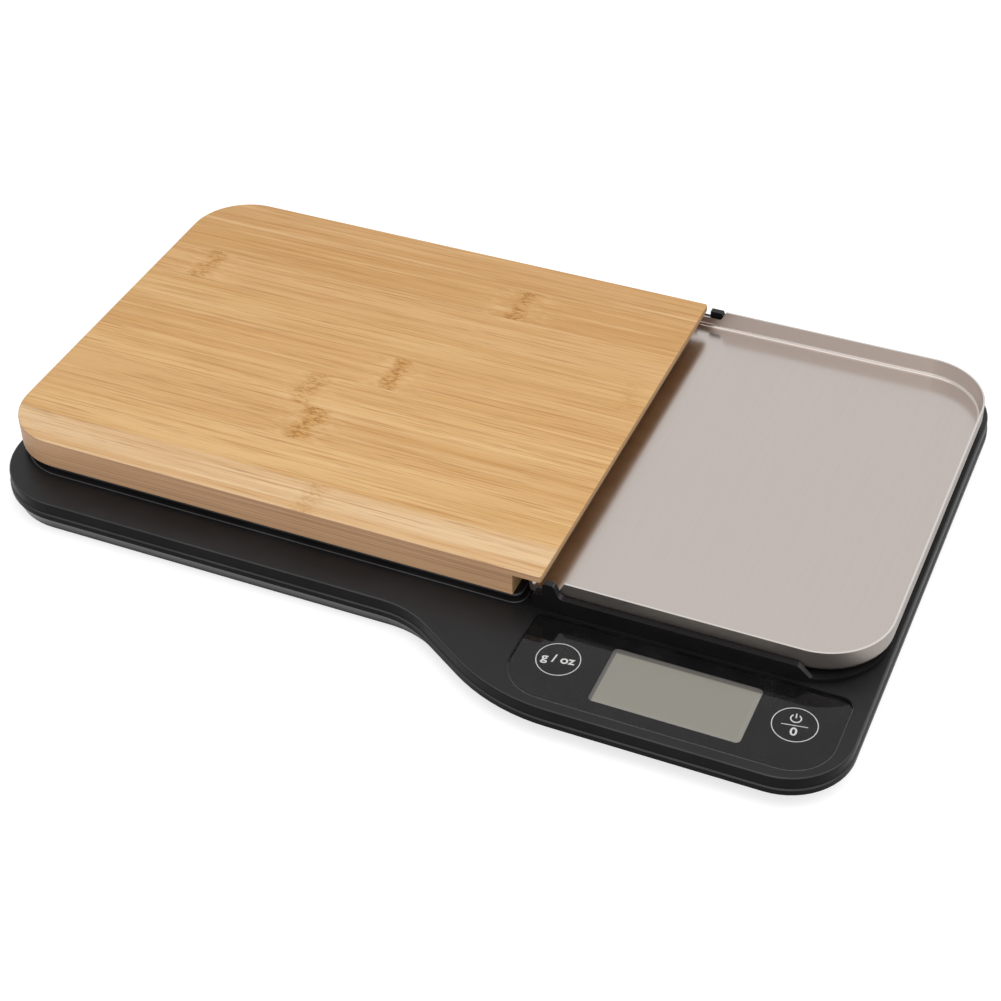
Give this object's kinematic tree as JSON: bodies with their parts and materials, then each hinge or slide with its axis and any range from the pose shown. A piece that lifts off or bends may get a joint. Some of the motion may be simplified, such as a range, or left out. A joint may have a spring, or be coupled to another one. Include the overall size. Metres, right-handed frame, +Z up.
{
  "type": "kitchen scale",
  "caption": "Flat kitchen scale with a lift-off bamboo cutting board, a pull-out steel weighing tray and a touch panel with a blank display, on a low black base.",
  "frame": {"origin": "on the table, under the middle of the scale's bounding box", "axes": "+X from the board to the tray, +Y from the display to the back, +Z up"},
  "size_m": [0.3704, 0.2516, 0.0308],
  "materials": {
    "black_plastic": "fine matt",
    "foot_rubber": "matt",
    "screw_steel": "zinc-plated",
    "panel_lens": "clear gloss",
    "panel_print": "printed black film",
    "display_glass": "grey-green display",
    "white_plastic": "matt",
    "elastomer": "matt",
    "circuit_board": "lacquered",
    "black_resin": "gloss",
    "cell_aluminium": "milled",
    "white_sealant": "satin",
    "plated_steel": "zinc-plated",
    "pad_rubber": "matt",
    "tray_steel": "satin brushed",
    "bamboo": "oiled satin",
    "battery_jacket": "printed film",
    "nickel": "nickel-plated",
    "lead_plastic": "satin"
  },
  "bodies": {
    "base": {"top_cover": "black_plastic", "bottom_cover": "black_plastic", "rubber_feet": "foot_rubber", "housing_screws": "screw_steel", "panel_lens": "panel_lens", "panel_mask": "panel_print", "lcd_glass": "display_glass", "lcd_frame": "white_plastic", "lcd_connector": "elastomer", "circuit_board": "circuit_board", "circuit_screws": "screw_steel", "processor": "black_resin", "touch_pads": "elastomer", "load_cell": "cell_aluminium", "strain_gauge": "white_sealant", "cell_base_plate": "plated_steel", "cell_base_screws": "screw_steel", "board_pads": "pad_rubber", "batteries": "battery_jacket", "battery_bridge": "nickel", "battery_contacts": "nickel", "cell_lead": "lead_plastic", "battery_lead": "lead_plastic"},
    "platform": {"weighing_platform": "black_plastic", "platform_screws": "screw_steel", "tray_pads": "pad_rubber", "cell_top_plate": "plated_steel"},
    "tray": {"steel_tray": "tray_steel"},
    "board": {"cutting_board": "bamboo"},
    "door": {"battery_door": "black_plastic"}
  },
  "joints": [
    {"name": "platform_press", "type": "slide", "parent": "base", "child": "platform", "axis": [0, 0, 1], "range_m": [-0.0008, 0], "stiffness_N_per_m": 60000, "deforming": ["load_cell"]},
    {"name": "tray_pull", "type": "slide", "parent": "platform", "child": "tray", "axis": [0.9659, 0, 0.2588], "range_m": [0, 0.17]},
    {"name": "board_lift", "type": "slide", "parent": "base", "child": "board", "axis": [0, 0, 1], "range_m": [0, 0.08]},
    {"name": "door_slide", "type": "slide", "parent": "base", "child": "door", "axis": [1, 0, 0], "range_m": [0, 0.006]}
  ]
}
